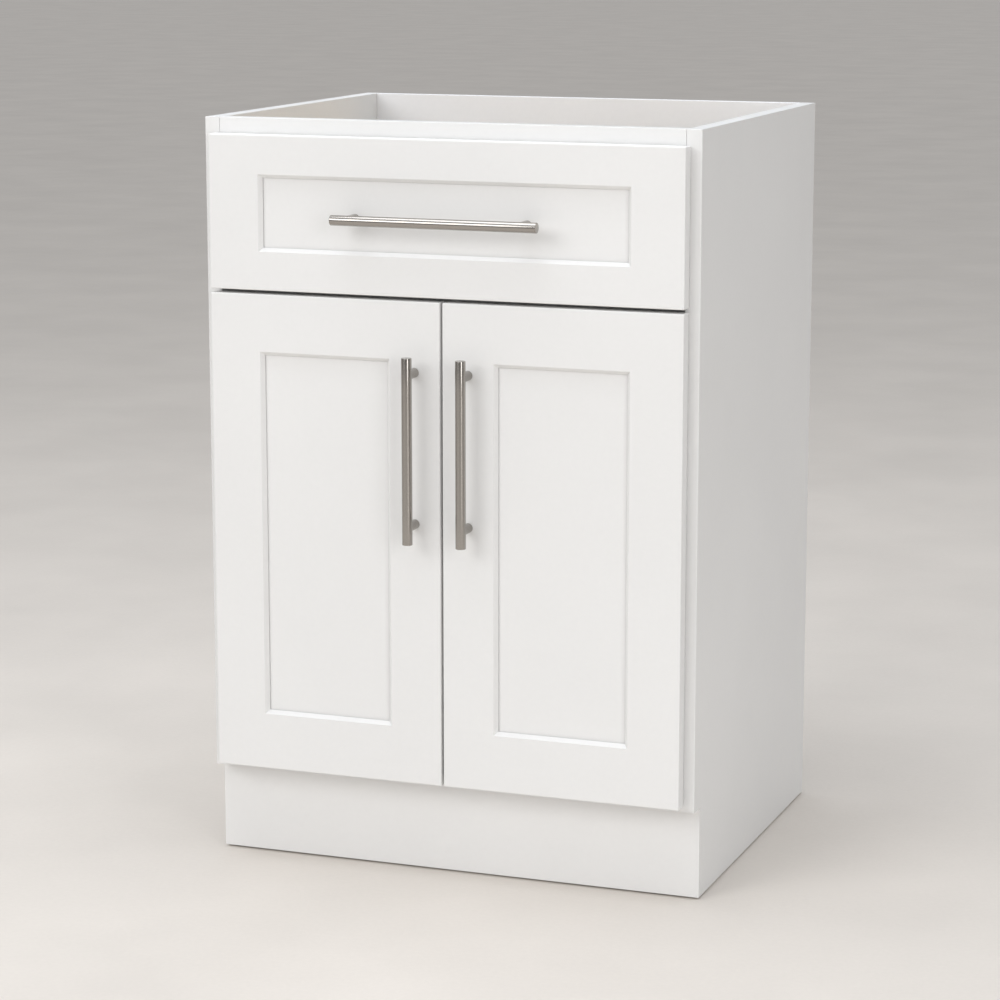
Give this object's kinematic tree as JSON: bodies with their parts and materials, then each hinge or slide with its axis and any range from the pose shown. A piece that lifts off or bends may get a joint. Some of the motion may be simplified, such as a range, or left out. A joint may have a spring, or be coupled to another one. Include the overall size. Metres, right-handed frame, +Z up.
{
  "type": "bathroom vanity cabinet",
  "caption": "White shaker-style vanity base cabinet with an open top for a basin, a wide drawer over a pair of doors, bar pulls and a recessed toe kick.",
  "frame": {"origin": "middle of the footprint at floor level, with the bar pulls counted in the depth", "axes": "+Z up; the doors and drawer face -Y; +X is to the right as a person faces the fronts"},
  "size_m": [0.6, 0.536, 0.886],
  "materials": {
    "white_paint": "satin white paint on board",
    "white_board": "satin white coated plywood",
    "birch": "clear satin lacquer on birch plywood",
    "brushed_nickel": "brushed nickel",
    "plated_steel": "bright nickel plate on pressed steel",
    "zinc_steel": "zinc plate on pressed steel"
  },
  "bodies": {
    "root": {"left_side_panel": "white_paint", "right_side_panel": "white_paint", "cabinet_floor": "white_board", "back_panel": "white_board", "top_front_rail": "white_paint", "middle_rail": "white_paint", "toe_kick_board": "white_paint", "left_upper_hinge_plate": "zinc_steel", "left_upper_hinge_arm": "plated_steel", "left_lower_hinge_plate": "zinc_steel", "left_lower_hinge_arm": "plated_steel", "right_upper_hinge_plate": "zinc_steel", "right_upper_hinge_arm": "plated_steel", "right_lower_hinge_plate": "zinc_steel", "right_lower_hinge_arm": "plated_steel", "left_slide_cabinet_member": "zinc_steel", "right_slide_cabinet_member": "zinc_steel"},
    "left_hinge_links": {"left_upper_hinge_link": "plated_steel", "left_lower_hinge_link": "plated_steel"},
    "right_hinge_links": {"right_upper_hinge_link": "plated_steel", "right_lower_hinge_link": "plated_steel"},
    "left_door": {"left_door_outer_stile": "white_paint", "left_door_inner_stile": "white_paint", "left_door_top_rail": "white_paint", "left_door_bottom_rail": "white_paint", "left_door_panel": "white_paint", "left_door_pull_bar": "brushed_nickel", "left_door_pull_upper_post": "brushed_nickel", "left_door_pull_lower_post": "brushed_nickel", "left_upper_hinge_cup": "plated_steel", "left_lower_hinge_cup": "plated_steel"},
    "right_door": {"right_door_outer_stile": "white_paint", "right_door_inner_stile": "white_paint", "right_door_top_rail": "white_paint", "right_door_bottom_rail": "white_paint", "right_door_panel": "white_paint", "right_door_pull_bar": "brushed_nickel", "right_door_pull_upper_post": "brushed_nickel", "right_door_pull_lower_post": "brushed_nickel", "right_upper_hinge_cup": "plated_steel", "right_lower_hinge_cup": "plated_steel"},
    "slide_middle_members": {"left_slide_middle_member": "zinc_steel", "right_slide_middle_member": "zinc_steel"},
    "drawer": {"drawer_front_left_stile": "white_paint", "drawer_front_right_stile": "white_paint", "drawer_front_top_rail": "white_paint", "drawer_front_bottom_rail": "white_paint", "drawer_front_panel": "white_paint", "drawer_box_left_side": "birch", "drawer_box_right_side": "birch", "drawer_box_front": "birch", "drawer_box_back": "birch", "drawer_box_bottom": "birch", "left_slide_drawer_member": "zinc_steel", "right_slide_drawer_member": "zinc_steel", "drawer_pull_bar": "brushed_nickel", "drawer_pull_left_post": "brushed_nickel", "drawer_pull_right_post": "brushed_nickel"}
  },
  "joints": [
    {"name": "left_hinge_links_swing", "type": "hinge", "parent": "root", "child": "left_hinge_links", "pos_m": [-0.2615, -0.2195, 0.4015], "axis": [0, 0, 1], "range_deg": [0, 32]},
    {"name": "left_door_swing", "type": "hinge", "parent": "left_hinge_links", "child": "left_door", "pos_m": [-0.278, -0.2237, 0.4015], "axis": [0, 0, -1], "range_deg": [0, 132]},
    {"name": "right_hinge_links_swing", "type": "hinge", "parent": "root", "child": "right_hinge_links", "pos_m": [0.2615, -0.2195, 0.4015], "axis": [0, 0, -1], "range_deg": [0, 32]},
    {"name": "right_door_swing", "type": "hinge", "parent": "right_hinge_links", "child": "right_door", "pos_m": [0.278, -0.2237, 0.4015], "axis": [0, 0, 1], "range_deg": [0, 132]},
    {"name": "drawer_slide", "type": "slide", "parent": "root", "child": "drawer", "axis": [0, -1, 0], "range_m": [0, 0.38]},
    {"name": "slide_middle_members_travel", "type": "slide", "parent": "root", "child": "slide_middle_members", "axis": [0, -1, 0], "range_m": [0, 0.19]}
  ],
  "couplings": [
    {"joint": "left_hinge_links_swing", "follows": "left_door_swing", "ratio": 0.2424},
    {"joint": "right_hinge_links_swing", "follows": "right_door_swing", "ratio": 0.2424},
    {"joint": "slide_middle_members_travel", "follows": "drawer_slide", "ratio": 0.5}
  ]
}
